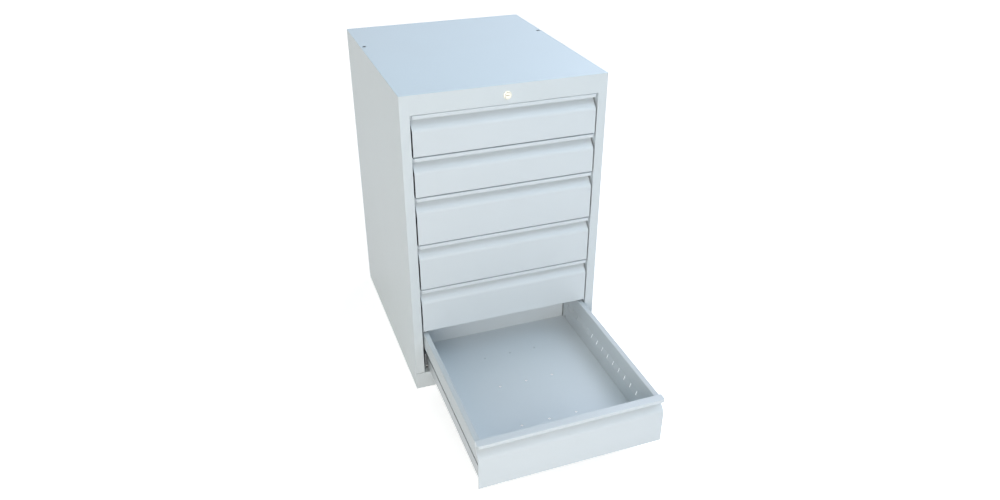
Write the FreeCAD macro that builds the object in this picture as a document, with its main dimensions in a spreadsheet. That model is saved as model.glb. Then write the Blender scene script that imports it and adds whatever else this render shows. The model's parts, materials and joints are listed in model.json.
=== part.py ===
import FreeCAD, Part
import Sketcher
import math
import os

# Drawer unit: a sheet-steel cabinet with six drawers on ball slides and one central lock.
# X runs to the right, Y to the back and Z up. The origin is the middle of the footprint, on the floor.
# Each piece is drawn with y = 0 at the plane of the drawer fronts, and is then moved back by half the depth.
# Across the cabinet, u is the distance from the middle plane; a side is -1 on the left and 1 on the right.

SIZES = [
    ("cabinet_width", 500), ("cabinet_depth", 600), ("cabinet_height", 800),
    ("sheet", 1), ("post_width", 23), ("post_return", 22), ("fold", 14), ("edge_radius", 0.8),
    ("fascia_height", 47), ("fascia_return", 20), ("plinth_height", 48), ("plinth_return", 30),
    ("foot_width", 20), ("top_skirt", 12), ("clear_gap", 2),
    ("top_hole_radius", 5), ("top_hole_inset", 10), ("top_hole_setback", 408),
    ("low_front", 98), ("tall_front", 123), ("front_gap", 2.6), ("opening_gap", 2),
    ("front_width", 447), ("front_sheet", 1.2), ("grip_depth", 20), ("grip_nose", 8), ("grip_throat", 16),
    ("grip_bend", 12), ("throat_radius", 4), ("lip_radius", 2), ("lip_corner", 5), ("front_return", 12),
    ("drawer_length", 521), ("floor_rise", 21), ("pan_width", 410), ("corner_gap", 1.5),
    ("pan_front_drop", 10), ("rim_drop", 6), ("floor_hole_radius", 2.5), ("floor_hole_spacing", 70),
    ("floor_hole_first", 135), ("floor_hole_second", 285), ("floor_hole_third", 405),
    ("wall_inset", 4.5), ("step_low", 61), ("step_high", 76), ("rim_outer", 223), ("skirt_low", 73),
    ("slot_first", 36), ("slot_pitch", 30.5), ("slot_count", 16), ("slot_width", 2), ("slot_inset", 1.5),
    ("rail_start", 24), ("rail_length", 500), ("rail_low", 10), ("rail_high", 41.5), ("rail_outer", 216.5),
    ("rail_sheet", 1.2), ("rail_foot", 6), ("track_u", 211.5), ("track_gap", 3.5),
    ("track_width", 3.2), ("track_depth", 0.7),
    ("ball_radius", 1.9), ("ball_level", 1.55), ("cage_sheet", 0.6), ("cage_web", 217.3), ("cage_edge", 209),
    ("cage_length", 70), ("cage_start", 16), ("ball_pitch", 44), ("ball_count", 2),
    ("fixed_rail_start", 12), ("fixed_rail_length", 550), ("fixed_rail_sheet", 1.5),
    ("fixed_rail_web", 218.7), ("fixed_rail_edge", 208.5),
    ("bracket_height", 22), ("bracket_width", 30),
    ("bracket_front", 46), ("bracket_rear", 530),
    ("bumper_length", 3), ("bumper_height", 3),
    ("upright_width", 40), ("upright_sheet", 1.5), ("upright_front", 26), ("upright_rear", 510),
    ("upright_face", 225), ("upright_height", 730), ("upright_slot", 10),
    ("drawer_travel", 432),
    ("lock_height", 774.5), ("lock_face_radius", 10), ("lock_face", 3), ("lock_barrel_radius", 8.9),
    ("lock_hole_radius", 9), ("lock_barrel", 22), ("lock_bore_radius", 6.6), ("plug_radius", 6.5),
    ("plug_proud", 0.6), ("key_slot_length", 8), ("key_slot_width", 1.8), ("key_slot_depth", 6),
    ("nut_across", 24), ("nut_height", 6), ("nut_gap", 0.1),
    ("rod_radius", 3), ("rod_end", 528), ("crank_reach", 8.5), ("crank_sheet", 3), ("crank_pin_radius", 2),
    ("crank_pin_length", 10),
    ("bar_back", 534), ("bar_sheet", 3), ("bar_inner", 12), ("bar_width", 20), ("bar_low", 100),
    ("bar_high", 792), ("pin_play", 0.6), ("tooth_reach", 20), ("tooth_height", 8), ("tooth_lift", 3.6),
    ("catch_rise", 60), ("catch_width", 20), ("catch_length", 19.5), ("catch_sheet", 2), ("catch_lip", 9),
    ("catch_flange", 14),
    ("guide_sheet", 2), ("guide_gap", 0.3), ("guide_width", 40), ("guide_flange", 25),
    ("guide_upper", 660), ("guide_lower", 190),
]
DRAWERS = 6
LOW_DRAWERS = 2
OPEN_DRAWER = 6
LEFT, RIGHT = -1, 1
HAND = {LEFT: "left", RIGHT: "right"}
HOLE_SIDES = 6
BALL_SIDES = 6
BARREL_SIDES = 16

document = FreeCAD.newDocument("drawer_unit")
table = document.addObject("Spreadsheet::Sheet", "Sizes")
for row, (alias, amount) in enumerate(SIZES, start=1):
    table.set("A%d" % row, alias)
    table.set("B%d" % row, str(amount))
    table.setAlias("B%d" % row, alias)
document.recompute()


class Length:
    """A number together with the expression on the table of sizes that gives it."""

    def __init__(self, amount, text):
        self.amount = amount
        self.text = text

    def join(self, sign, other, amount):
        text = other.text if isinstance(other, Length) else repr(other)
        return Length(amount, "(%s %s %s)" % (self.text, sign, text))

    def __add__(self, other):
        return self.join("+", other, self.amount + number(other))

    def __sub__(self, other):
        return self.join("-", other, self.amount - number(other))

    def __mul__(self, other):
        return self.join("*", other, self.amount * number(other))

    def __truediv__(self, other):
        return self.join("/", other, self.amount / number(other))

    def __neg__(self):
        return Length(-self.amount, "(-1 * %s)" % self.text)

    def __radd__(self, other):
        return self + other

    def __rmul__(self, other):
        return self * other

    def __rsub__(self, other):
        return -self + other


def number(value):
    return value.amount if isinstance(value, Length) else value


def text_of(value):
    return value.text if isinstance(value, Length) else repr(value)


class Table:
    """Gives each cell of the table of sizes as a Length, by its alias."""

    def __getattr__(self, alias):
        return Length(float(table.get(alias)), "Sizes." + alias)


size = Table()
half_width = size.cabinet_width / 2
opening = half_width - size.post_width
wall = size.pan_width / 2
wall_outer = wall + size.sheet
upper_wall = wall + size.wall_inset
ZERO = Length(0.0, "0")


# Drawing helpers

def body(label, y_shift=ZERO, z=ZERO):
    """A new body, moved back from the plane of the fronts to the frame of the cabinet."""
    made = document.addObject("PartDesign::Body", label)
    made.Label = label
    back = y_shift - size.cabinet_depth / 2
    made.setExpression("Placement.Base.y", back.text)
    made.setExpression("Placement.Base.z", z.text)
    return made


def sketch(owner, plane, lift=ZERO):
    """A sketch on an origin plane: XY looks down Z, XZ has y = lift, and YZ has x = lift."""
    made = owner.newObject("Sketcher::SketchObject", owner.Name + "_sketch")
    origin = [feature for feature in owner.Origin.OriginFeatures if feature.Role == plane + "_Plane"]
    made.AttachmentSupport = (origin[0], [""])
    made.MapMode = "FlatFace"
    offset = -lift if plane == "XZ" else lift
    made.setExpression("AttachmentOffset.Base.z", offset.text)
    return made


def tie(drawing, points):
    """Ties points of the drawing, each given as (geometry, end of it, u, v), to their sizes."""
    rules, texts = [], []
    for geometry, point, u, v in points:
        rules.append(Sketcher.Constraint("DistanceX", -1, 1, geometry, point, float(number(u))))
        rules.append(Sketcher.Constraint("DistanceY", -1, 1, geometry, point, float(number(v))))
        texts.extend([text_of(u), text_of(v)])
    first = drawing.ConstraintCount
    drawing.addConstraint(rules)
    for shift, text in enumerate(texts):
        drawing.setExpression("Constraints[%d]" % (first + shift), text)


def outline(drawing, corners):
    """A closed outline of straight lines."""
    spots = [FreeCAD.Vector(number(u), number(v), 0) for u, v in corners]
    first = drawing.GeometryCount
    count = len(spots)
    drawing.addGeometry([Part.LineSegment(spots[i], spots[(i + 1) % count]) for i in range(count)], False)
    drawing.addConstraint([
        Sketcher.Constraint("Coincident", first + i, 2, first + (i + 1) % count, 1) for i in range(count)])
    tie(drawing, [(first + i, 1, u, v) for i, (u, v) in enumerate(corners)])


def rectangle(drawing, u_low, u_high, v_low, v_high):
    outline(drawing, [(u_low, v_low), (u_high, v_low), (u_high, v_high), (u_low, v_high)])


def circle(drawing, u, v, radius):
    centre = FreeCAD.Vector(number(u), number(v), 0)
    index = drawing.addGeometry(Part.Circle(centre, FreeCAD.Vector(0, 0, 1), number(radius)), False)
    tie(drawing, [(index, 3, u, v)])
    rule = drawing.addConstraint(Sketcher.Constraint("Radius", index, number(radius)))
    drawing.setExpression("Constraints[%d]" % rule, text_of(radius))


def polygon(drawing, u, v, radius, sides, turned=0.0):
    """A regular outline, also for small holes and balls that repeat."""
    corners = []
    for step in range(sides):
        angle = 2 * math.pi * (step + turned) / sides
        corners.append((u + radius * math.cos(angle), v + radius * math.sin(angle)))
    outline(drawing, corners)


def extrude(owner, kind, drawing, length, reverse=False, both=False):
    made = owner.newObject("PartDesign::" + kind, owner.Name + "_" + kind.lower())
    made.Profile = drawing
    made.setExpression("Length", length.text)
    made.Reversed = reverse
    if both:
        made.SideType = "Symmetric"
    drawing.Visibility = False
    owner.Tip = made
    return made


def pad(owner, drawing, length, reverse=False, both=False):
    return extrude(owner, "Pad", drawing, length, reverse, both)


def pocket(owner, drawing, length, reverse=False, both=False):
    """Cuts, and makes sure that something was cut away."""
    document.recompute()
    before = owner.Shape.Volume
    made = extrude(owner, "Pocket", drawing, length, reverse, both)
    document.recompute()
    if owner.Shape.Volume > before - 0.01:
        raise RuntimeError("nothing was cut from " + owner.Label)
    return made


def repeat(owner, feature, axis, count, spacing):
    """A row of copies of a feature along an axis of the body."""
    lines = [line for line in owner.Origin.OriginFeatures if line.Role == axis + "_Axis"]
    made = owner.newObject("PartDesign::LinearPattern", owner.Name + "_row")
    made.Originals = [feature]
    made.Direction = (lines[0], [""])
    made.setExpression("Occurrences", count.text)
    made.setExpression("Length", (spacing * (count - 1)).text)
    owner.Tip = made
    return made


def straight_edges(owner, axis, spots):
    """Names of the edges along an axis that pass through the given places in the cross-section."""
    along = "XYZ".index(axis)
    across = [i for i in range(3) if i != along]
    names = []
    for index, edge in enumerate(owner.Tip.Shape.Edges, start=1):
        ends = [vertex.Point for vertex in edge.Vertexes]
        for spot in spots:
            wanted = [number(value) for value in spot]
            near = [abs(end[across[k]] - wanted[k]) < 0.02 for end in ends for k in (0, 1)]
            if len(ends) == 2 and all(near):
                names.append("Edge%d" % index)
    return names


def dress(owner, kind, names, measure, amount):
    if not names:
        raise RuntimeError("no edge to dress on " + owner.Label)
    base = owner.Tip
    made = owner.newObject("PartDesign::" + kind, owner.Name + "_" + kind.lower())
    made.Base = (base, names)
    made.setExpression(measure, amount.text)
    owner.Tip = made


def round_edges(owner, axis, spots, radius):
    document.recompute()
    dress(owner, "Fillet", straight_edges(owner, axis, spots), "Radius", radius)


def bevel_edges(owner, axis, spots, amount):
    document.recompute()
    dress(owner, "Chamfer", straight_edges(owner, axis, spots), "Size", amount)


def group(label, members):
    """Equal pieces that share one node."""
    made = document.addObject("Part::Compound", label)
    made.Label = label
    made.Links = members
    return made


pieces = []


# Cabinet shell

def side_panel(side):
    """Side sheet whose front edge is folded into the post, with a return; its rear edge is folded in."""
    piece = body(HAND[side] + "_side_panel")
    edge, inner = side * half_width, side * (half_width - size.sheet)
    jamb, jamb_back = side * opening, side * (opening + size.sheet)
    hem = side * (half_width - size.sheet - size.fold)
    rear, seam = size.cabinet_depth - 2 * size.sheet, size.cabinet_depth - size.sheet
    plan = sketch(piece, "XY")
    outline(plan, [
        (edge, ZERO), (jamb, ZERO), (jamb, size.post_return), (jamb_back, size.post_return),
        (jamb_back, size.sheet), (inner, size.sheet), (inner, rear), (hem, rear), (hem, seam),
        (inner, seam), (inner, size.cabinet_depth), (edge, size.cabinet_depth)])
    pad(piece, plan, size.cabinet_height - size.sheet)
    notch = sketch(piece, "XY")
    clear = side * (opening - size.sheet)
    outline(notch, [
        (clear, -size.sheet), (edge + side * size.sheet, -size.sheet), (edge + side * size.sheet, size.sheet),
        (inner, size.sheet), (inner, size.post_return + size.sheet), (clear, size.post_return + size.sheet)])
    pocket(piece, notch, size.plinth_height, reverse=True)
    round_edges(piece, "Z", [(edge, ZERO)], size.edge_radius)
    return piece


def top_panel():
    """Flat top with skirts folded down inside the sides, the fascia and the back."""
    piece = body("top_panel", z=size.cabinet_height - size.sheet)
    plate = sketch(piece, "XY")
    rectangle(plate, -half_width, half_width, ZERO, size.cabinet_depth)
    pad(piece, plate, size.sheet)
    skirts = sketch(piece, "XY")
    inner, reach = half_width - size.sheet, size.cabinet_depth - 3 * size.sheet
    for side in (LEFT, RIGHT):
        rectangle(skirts, side * (inner - size.sheet), side * inner, size.post_return + size.clear_gap,
                  size.upright_rear)
    middle = opening - size.clear_gap
    rectangle(skirts, -middle, middle, size.sheet, 2 * size.sheet)
    rectangle(skirts, -middle, middle, reach, reach + size.sheet)
    pad(piece, skirts, size.top_skirt, reverse=True)
    holes = sketch(piece, "XY", size.sheet)
    for side in (LEFT, RIGHT):
        circle(holes, side * (half_width - size.top_hole_inset), size.top_hole_setback, size.top_hole_radius)
    pocket(piece, holes, 2 * size.sheet)
    document.recompute()
    rim = straight_edges(piece, "X", [(ZERO, size.sheet), (size.cabinet_depth, size.sheet)])
    rim = rim + straight_edges(piece, "Y", [(-half_width, size.sheet), (half_width, size.sheet)])
    dress(piece, "Chamfer", rim, "Size", size.edge_radius)
    return piece


def fascia():
    """Strip above the drawers, with a return along the opening and a hole for the lock."""
    piece = body("fascia")
    low = size.cabinet_height - size.fascia_height
    section = sketch(piece, "YZ")
    outline(section, [
        (ZERO, low), (size.fascia_return, low), (size.fascia_return, low + size.sheet),
        (size.sheet, low + size.sheet), (size.sheet, size.cabinet_height - size.sheet),
        (ZERO, size.cabinet_height - size.sheet)])
    pad(piece, section, 2 * opening, both=True)
    hole = sketch(piece, "XZ")
    circle(hole, ZERO, size.lock_height, size.lock_hole_radius)
    pocket(piece, hole, 4 * size.sheet, both=True)
    round_edges(piece, "X", [(ZERO, low)], size.edge_radius)
    return piece


def plinth():
    """Front strip under the opening, across the full width, with a return at its top and a foot ring."""
    piece = body("plinth")
    section = sketch(piece, "YZ")
    outline(section, [
        (ZERO, ZERO), (ZERO, size.plinth_height), (size.sheet, size.plinth_height), (size.sheet, ZERO)])
    pad(piece, section, size.cabinet_width, both=True)
    head = sketch(piece, "XY", size.plinth_height - size.sheet)
    rectangle(head, size.sheet - half_width, half_width - size.sheet, size.sheet, size.plinth_return)
    pad(piece, head, size.sheet)
    foot = sketch(piece, "XY")
    inner, ring, rear = half_width - size.sheet, size.foot_width, size.cabinet_depth - 2 * size.sheet
    rectangle(foot, -inner, inner, size.sheet, rear)
    rectangle(foot, ring - inner, inner - ring, ring, rear - ring)
    pad(piece, foot, size.sheet)
    round_edges(piece, "Z", [(-half_width, ZERO), (half_width, ZERO)], size.edge_radius)
    return piece


def bottom_panel():
    """Cabinet floor, notched round the posts; it rests on the plinth's return."""
    piece = body("bottom_panel", z=size.plinth_height)
    clear, inner = opening - size.sheet / 2, half_width - size.sheet
    start, end = size.post_return + size.clear_gap, size.cabinet_depth - 3 * size.sheet
    plan = sketch(piece, "XY")
    outline(plan, [
        (-clear, size.sheet), (clear, size.sheet), (clear, start), (inner, start), (inner, end),
        (-inner, end), (-inner, start), (-clear, start)])
    pad(piece, plan, size.sheet)
    return piece


def back_panel():
    piece = body("back_panel")
    inner = half_width - size.sheet
    plan = sketch(piece, "XY")
    rectangle(plan, -inner, inner, size.cabinet_depth - size.sheet, size.cabinet_depth)
    pad(piece, plan, size.cabinet_height - size.sheet)
    return piece


def upright(side, place, start):
    """Slotted channel inside the side panel, open towards it."""
    piece = body("%s_upright_%s" % (HAND[side], place), z=size.plinth_height + size.sheet)
    face, back = side * size.upright_face, side * (half_width - size.sheet)
    wall_back = side * (size.upright_face + size.upright_sheet)
    end = start + size.upright_width
    plan = sketch(piece, "XY")
    outline(plan, [
        (face, start), (face, end), (back, end), (back, end - size.upright_sheet),
        (wall_back, end - size.upright_sheet), (wall_back, start + size.upright_sheet),
        (back, start + size.upright_sheet), (back, start)])
    pad(piece, plan, size.upright_height)
    holes = sketch(piece, "YZ", face)
    middle, half = start + size.upright_width / 2, size.upright_slot / 2
    for index in range(1, DRAWERS + 1):
        level = drawer_level(index) + (size.rail_low + size.rail_high) / 2 - size.plinth_height - size.sheet
        rectangle(holes, middle - half / 2, middle + half / 2, level - half, level + half)
    pocket(piece, holes, 4 * size.upright_sheet, both=True)
    return piece


# Drawers, drawn with z = 0 at the lower edge of the front

def front_height(index):
    return size.low_front if index <= LOW_DRAWERS else size.tall_front


def drawer_level(index):
    """Height of the lower edge of a drawer's front above the floor."""
    level = size.plinth_height + size.sheet + size.opening_gap
    for below in range(index + 1, DRAWERS + 1):
        level = level + front_height(below) + size.front_gap
    return level


def drawer_shift(index, share=1.0):
    """How far a drawer, or a share of its travel, stands forward at rest."""
    return -size.drawer_travel * share if index == OPEN_DRAWER else ZERO


def drawer_body(index, name, share=1.0):
    return body("drawer_%d_%s" % (index, name), drawer_shift(index, share), drawer_level(index))


def drawer_front(index):
    """One folded sheet: face, bend, sloped finger recess, lip and nose, with returns at its ends."""
    piece = drawer_body(index, "front")
    height, sheet, depth = front_height(index), size.front_sheet, size.grip_depth
    throat = height - size.grip_throat
    bend = throat - depth
    slack = sheet * math.tan(math.pi / 8)
    section = sketch(piece, "YZ")
    outline(section, [
        (ZERO, ZERO), (ZERO, bend), (depth, throat), (depth, height - sheet), (sheet, height - sheet),
        (sheet, height - size.grip_nose), (ZERO, height - size.grip_nose), (ZERO, height),
        (depth + sheet, height), (depth + sheet, throat - slack), (sheet, bend - slack), (sheet, sheet),
        (size.front_return, sheet), (size.front_return, ZERO)])
    pad(piece, section, size.front_width, both=True)
    ends = sketch(piece, "XY", 2 * sheet)
    for side in (LEFT, RIGHT):
        edge = side * size.front_width / 2
        rectangle(ends, edge - side * sheet, edge, sheet, size.front_return)
    pad(piece, ends, bend - 6 * sheet)
    corners = sketch(piece, "XY", height)
    for side in (LEFT, RIGHT):
        edge, cut = side * size.front_width / 2, size.lip_corner
        beyond = edge + side * sheet
        outline(corners, [(beyond, -sheet), (beyond, cut + sheet), (edge - side * (cut + sheet), -sheet)])
    pocket(piece, corners, size.grip_throat)
    round_edges(piece, "X", [(ZERO, bend)], size.grip_bend)
    round_edges(piece, "X", [(sheet, bend - slack)], size.grip_bend - sheet)
    round_edges(piece, "X", [(depth, throat)], size.throat_radius)
    round_edges(piece, "X", [(depth + sheet, throat - slack)], size.throat_radius + sheet)
    round_edges(piece, "X", [(ZERO, ZERO), (ZERO, height), (depth + sheet, height)], size.lip_radius)
    return piece


def drawer_tray(index):
    """Floor, back wall and inner front wall in one folded sheet."""
    piece = drawer_body(index, "tray")
    height, sheet = front_height(index), size.sheet
    start, end = size.grip_depth + size.front_sheet, size.drawer_length
    base, floor = size.floor_rise - sheet, size.floor_rise
    back_top = height - size.rim_drop - 2 * sheet
    section = sketch(piece, "YZ")
    outline(section, [
        (start, base), (end, base), (end, back_top), (end - sheet, back_top), (end - sheet, floor),
        (start + sheet, floor), (start + sheet, height - size.pan_front_drop),
        (start, height - size.pan_front_drop)])
    pad(piece, section, size.pan_width, both=True)
    gaps = sketch(piece, "XZ", end - sheet)
    for side in (LEFT, RIGHT):
        rectangle(gaps, side * (wall - size.corner_gap), side * (wall + sheet), floor, height)
    pocket(piece, gaps, 2 * sheet)
    holes = sketch(piece, "XY", floor)
    for depth in (size.floor_hole_first, size.floor_hole_second, size.floor_hole_third):
        for column in (-1, 0, 1):
            polygon(holes, size.floor_hole_spacing * column, depth, size.floor_hole_radius, HOLE_SIDES)
    pocket(piece, holes, 2 * sheet)
    return piece


def drawer_catch(index):
    """Bracket on the outside of the back wall, with the lip that the lock bar's tooth drops in front of."""
    piece = drawer_body(index, "catch")
    end, sheet, plate = size.drawer_length, size.catch_sheet, size.catch_rise
    tip, lip, flange = end + size.catch_length, plate + sheet + size.catch_lip, plate + size.catch_flange
    section = sketch(piece, "YZ")
    outline(section, [
        (end, plate), (tip, plate), (tip, lip), (tip - sheet, lip), (tip - sheet, plate + sheet),
        (end + sheet, plate + sheet), (end + sheet, flange), (end, flange)])
    pad(piece, section, size.catch_width, both=True)
    return piece


def drawer_side(index, side):
    """Rolled side wall: a step outwards above the slide, then a flat rim and a skirt that hangs over it."""
    piece = drawer_body(index, HAND[side] + "_side")
    sheet, rim = size.sheet, front_height(index) - size.rim_drop
    slope = math.atan2(number(size.wall_inset), number(size.step_high - size.step_low))
    slack = sheet * math.tan(slope / 2)
    start = size.grip_depth + size.front_sheet
    profile = [
        (wall, size.floor_rise - sheet), (wall, size.step_low), (upper_wall, size.step_high),
        (upper_wall, rim), (size.rim_outer, rim), (size.rim_outer, size.skirt_low),
        (size.rim_outer - sheet, size.skirt_low),
        (size.rim_outer - sheet, rim - sheet), (upper_wall + sheet, rim - sheet),
        (upper_wall + sheet, size.step_high - slack), (wall_outer, size.step_low - slack),
        (wall_outer, size.floor_rise - sheet)]
    section = sketch(piece, "XZ", start)
    outline(section, [(side * u, v) for u, v in profile])
    pad(piece, section, size.drawer_length - start, reverse=True)
    slot = sketch(piece, "YZ", side * (wall - sheet))
    rectangle(slot, size.slot_first, size.slot_first + size.slot_width,
              size.step_low + size.slot_inset, size.step_high - size.slot_inset)
    cut = pocket(piece, slot, 2 * size.wall_inset, reverse=side > 0)
    repeat(piece, cut, "Y", size.slot_count, size.slot_pitch)
    bevel_edges(piece, "Y", [(side * upper_wall, rim), (side * size.rim_outer, rim)], size.edge_radius)
    return piece


def tracks(drawing, side, upper_face, lower_face):
    """Two grooves for the balls, each with sloping flanks and a narrower floor."""
    half, depth = size.track_width / 2, size.track_depth
    for face, way in ((upper_face, 1), (lower_face, -1)):
        outline(drawing, [
            (side * (size.track_u - half), face), (side * (size.track_u - half + depth), face - way * depth),
            (side * (size.track_u + half - depth), face - way * depth), (side * (size.track_u + half), face)])


def drawer_rail(index, side):
    """The drawer's member of a slide: a channel closed by the side wall, with two ball tracks."""
    piece = drawer_body(index, HAND[side] + "_rail")
    sheet, low, high, face = size.rail_sheet, size.rail_low, size.rail_high, size.rail_outer
    foot = wall_outer + sheet
    profile = [
        (wall_outer, low), (face, low), (face, high), (wall_outer, high), (wall_outer, high - size.rail_foot),
        (foot, high - size.rail_foot), (foot, high - sheet), (face - sheet, high - sheet),
        (face - sheet, low + sheet), (foot, low + sheet), (foot, low + size.rail_foot),
        (wall_outer, low + size.rail_foot)]
    section = sketch(piece, "XZ", size.rail_start)
    outline(section, [(side * u, v) for u, v in profile])
    pad(piece, section, size.rail_length, reverse=True)
    groove = sketch(piece, "XZ", size.rail_start)
    tracks(groove, side, high, low)
    pocket(piece, groove, size.rail_length)
    return piece


def ball_cage(index, side):
    """Folded strip that holds a row of balls above the drawer's rail and one below it."""
    piece = drawer_body(index, HAND[side] + "_cage", 0.5)
    start = size.cage_start + size.drawer_travel / 2
    sheet, web, edge = size.cage_sheet, size.cage_web, size.cage_edge
    upper, lower = size.rail_high + size.ball_level, size.rail_low - size.ball_level
    half = sheet / 2
    profile = [
        (edge, upper + half), (web + sheet, upper + half), (web + sheet, lower - half), (edge, lower - half),
        (edge, lower + half), (web, lower + half), (web, upper - half), (edge, upper - half)]
    section = sketch(piece, "XZ", start)
    outline(section, [(side * u, v) for u, v in profile])
    pad(piece, section, size.cage_length, reverse=True)
    first = start + (size.cage_length - size.ball_pitch * (size.ball_count - 1)) / 2
    balls = sketch(piece, "XZ", first)
    for level in (upper, lower):
        polygon(balls, side * size.track_u, level, size.ball_radius, BALL_SIDES, 0.5)
    row = pad(piece, balls, 2 * size.ball_radius, both=True)
    repeat(piece, row, "Y", size.ball_count, size.ball_pitch)
    return piece


def cabinet_rail(index, side):
    """The fixed member of a slide: a channel round the drawer's rail, on two brackets."""
    piece = body("%s_cabinet_rail_%d" % (HAND[side], index), z=drawer_level(index))
    sheet, web, edge = size.fixed_rail_sheet, size.fixed_rail_web, size.fixed_rail_edge
    low, high = size.rail_low - size.track_gap, size.rail_high + size.track_gap
    profile = [
        (edge, low - sheet), (web + sheet, low - sheet), (web + sheet, high + sheet), (edge, high + sheet),
        (edge, high), (web, high), (web, low), (edge, low)]
    section = sketch(piece, "XZ", size.fixed_rail_start)
    outline(section, [(side * u, v) for u, v in profile])
    pad(piece, section, size.fixed_rail_length, reverse=True)
    back, crown = web + sheet, size.upright_face
    brackets = sketch(piece, "XY", (low + high - size.bracket_height) / 2)
    for middle in (size.bracket_front, size.bracket_rear):
        near, far = middle - size.bracket_width / 2, middle + size.bracket_width / 2
        plan = [
            (back, near), (crown, near), (crown, far), (back, far), (back, far - sheet),
            (crown - sheet, far - sheet), (crown - sheet, near + sheet), (back, near + sheet)]
        outline(brackets, [(side * u, v) for u, v in plan])
    pad(piece, brackets, size.bracket_height)
    return piece


def rail_bumper(index, side):
    """Plastic stop on the lower flange of a fixed rail, at its front end."""
    piece = body("%s_bumper_%d" % (HAND[side], index), z=drawer_level(index))
    low = size.rail_low - size.track_gap
    section = sketch(piece, "XZ", size.fixed_rail_start)
    rectangle(section, side * (size.fixed_rail_edge + size.sheet), side * size.fixed_rail_web,
              low, low + size.bumper_height)
    pad(piece, section, size.bumper_length, reverse=True)
    return piece


# Central lock: the plug turns a rod that runs to the back, and its crank moves the bar

def lock_housing():
    piece = body("lock_housing")
    face = sketch(piece, "XZ")
    circle(face, ZERO, size.lock_height, size.lock_face_radius)
    pad(piece, face, size.lock_face)
    barrel = sketch(piece, "XZ")
    polygon(barrel, ZERO, size.lock_height, size.lock_barrel_radius, BARREL_SIDES)
    pad(piece, barrel, size.lock_barrel, reverse=True)
    bore = sketch(piece, "XZ", -size.lock_face)
    circle(bore, ZERO, size.lock_height, size.lock_bore_radius)
    pocket(piece, bore, size.lock_face + size.lock_barrel)
    return piece


def lock_plug():
    piece = body("lock_plug")
    proud = size.lock_face + size.plug_proud
    disc = sketch(piece, "XZ", -proud)
    circle(disc, ZERO, size.lock_height, size.plug_radius)
    pad(piece, disc, proud + size.lock_barrel + size.sheet, reverse=True)
    slot = sketch(piece, "XZ", -proud)
    rectangle(slot, -size.key_slot_length / 2, size.key_slot_length / 2,
              size.lock_height - size.key_slot_width / 2, size.lock_height + size.key_slot_width / 2)
    pocket(piece, slot, size.key_slot_depth)
    return piece


def lock_nut():
    piece = body("lock_nut")
    hexagon = sketch(piece, "XZ", size.sheet)
    polygon(hexagon, ZERO, size.lock_height, size.nut_across / 2 / math.cos(math.pi / 6), 6)
    polygon(hexagon, ZERO, size.lock_height, size.lock_hole_radius + size.nut_gap, 24)
    pad(piece, hexagon, size.nut_height, reverse=True)
    return piece


def lock_rod():
    """Rod from the plug to the back, with a crank whose pin lifts the bar."""
    piece = body("lock_rod")
    start = size.lock_barrel + size.sheet
    rod = sketch(piece, "XZ", start)
    circle(rod, ZERO, size.lock_height, size.rod_radius)
    pad(piece, rod, size.rod_end - start, reverse=True)
    reach = size.crank_reach * math.cos(math.pi / 4)
    half = size.rod_radius * math.cos(math.pi / 4)
    arm = sketch(piece, "XZ", size.rod_end - size.crank_sheet)
    outline(arm, [
        (-half, size.lock_height + half), (half, size.lock_height - half),
        (reach + half, size.lock_height + reach - half), (reach - half, size.lock_height + reach + half)])
    pad(piece, arm, size.crank_sheet, reverse=True)
    crank_pin = sketch(piece, "XZ", size.rod_end)
    circle(crank_pin, reach, size.lock_height + reach, size.crank_pin_radius)
    pad(piece, crank_pin, size.crank_pin_length, reverse=True)
    return piece


def bar_plate(name, u_low, u_high, v_low, v_high):
    """A flat piece of the lock bar, in the bar's plane."""
    piece = body(name)
    plate = sketch(piece, "XZ", size.bar_back)
    rectangle(plate, u_low, u_high, v_low, v_high)
    pad(piece, plate, size.bar_sheet, reverse=True)
    return piece


def lock_bar():
    """Strip whose head the crank pin moves; its teeth drop in front of the drawers' catches."""
    inner = size.bar_inner
    strip = bar_plate("lock_bar_strip", inner, inner + size.bar_width, size.bar_low, size.bar_high)
    reach, radius, play = size.crank_reach * math.cos(math.pi / 4), size.crank_pin_radius, size.pin_play
    pin_level = size.lock_height + reach
    head = bar_plate("lock_bar_head", -radius, inner, pin_level - size.tooth_height, size.bar_high)
    window = sketch(head, "XZ", size.bar_back)
    rectangle(window, reach - radius - play, size.crank_reach + radius + play,
              pin_level - radius - play, pin_level + radius + play)
    pocket(head, window, size.bar_sheet)
    teeth = []
    for index in range(1, DRAWERS + 1):
        base = drawer_level(index) + size.catch_rise + size.catch_sheet + size.catch_lip + size.tooth_lift
        teeth.append(bar_plate("lock_tooth_%d" % index, inner - size.tooth_reach, inner,
                               base, base + size.tooth_height))
    return group("lock_bar", [strip, head] + teeth)


def lock_guide(name, level):
    """Bracket on the back panel with a window that the bar slides in."""
    piece = body("lock_guide_" + name, z=level)
    middle = size.bar_inner + size.bar_width / 2
    half = size.guide_width / 2
    back = size.cabinet_depth - size.sheet
    front = size.bar_back - 2 * size.guide_sheet
    shelf = sketch(piece, "XY")
    rectangle(shelf, middle - half, middle + half, front, back)
    pad(piece, shelf, size.guide_sheet)
    flange = sketch(piece, "XZ", back)
    rectangle(flange, middle - half, middle + half, ZERO, size.guide_flange)
    pad(piece, flange, size.guide_sheet)
    window = sketch(piece, "XY", size.guide_sheet)
    gap = size.guide_gap
    rectangle(window, size.bar_inner - gap, size.bar_inner + size.bar_width + gap,
              size.bar_back - gap, size.bar_back + size.bar_sheet + gap)
    pocket(piece, window, size.guide_sheet)
    return piece


# The whole object

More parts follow.
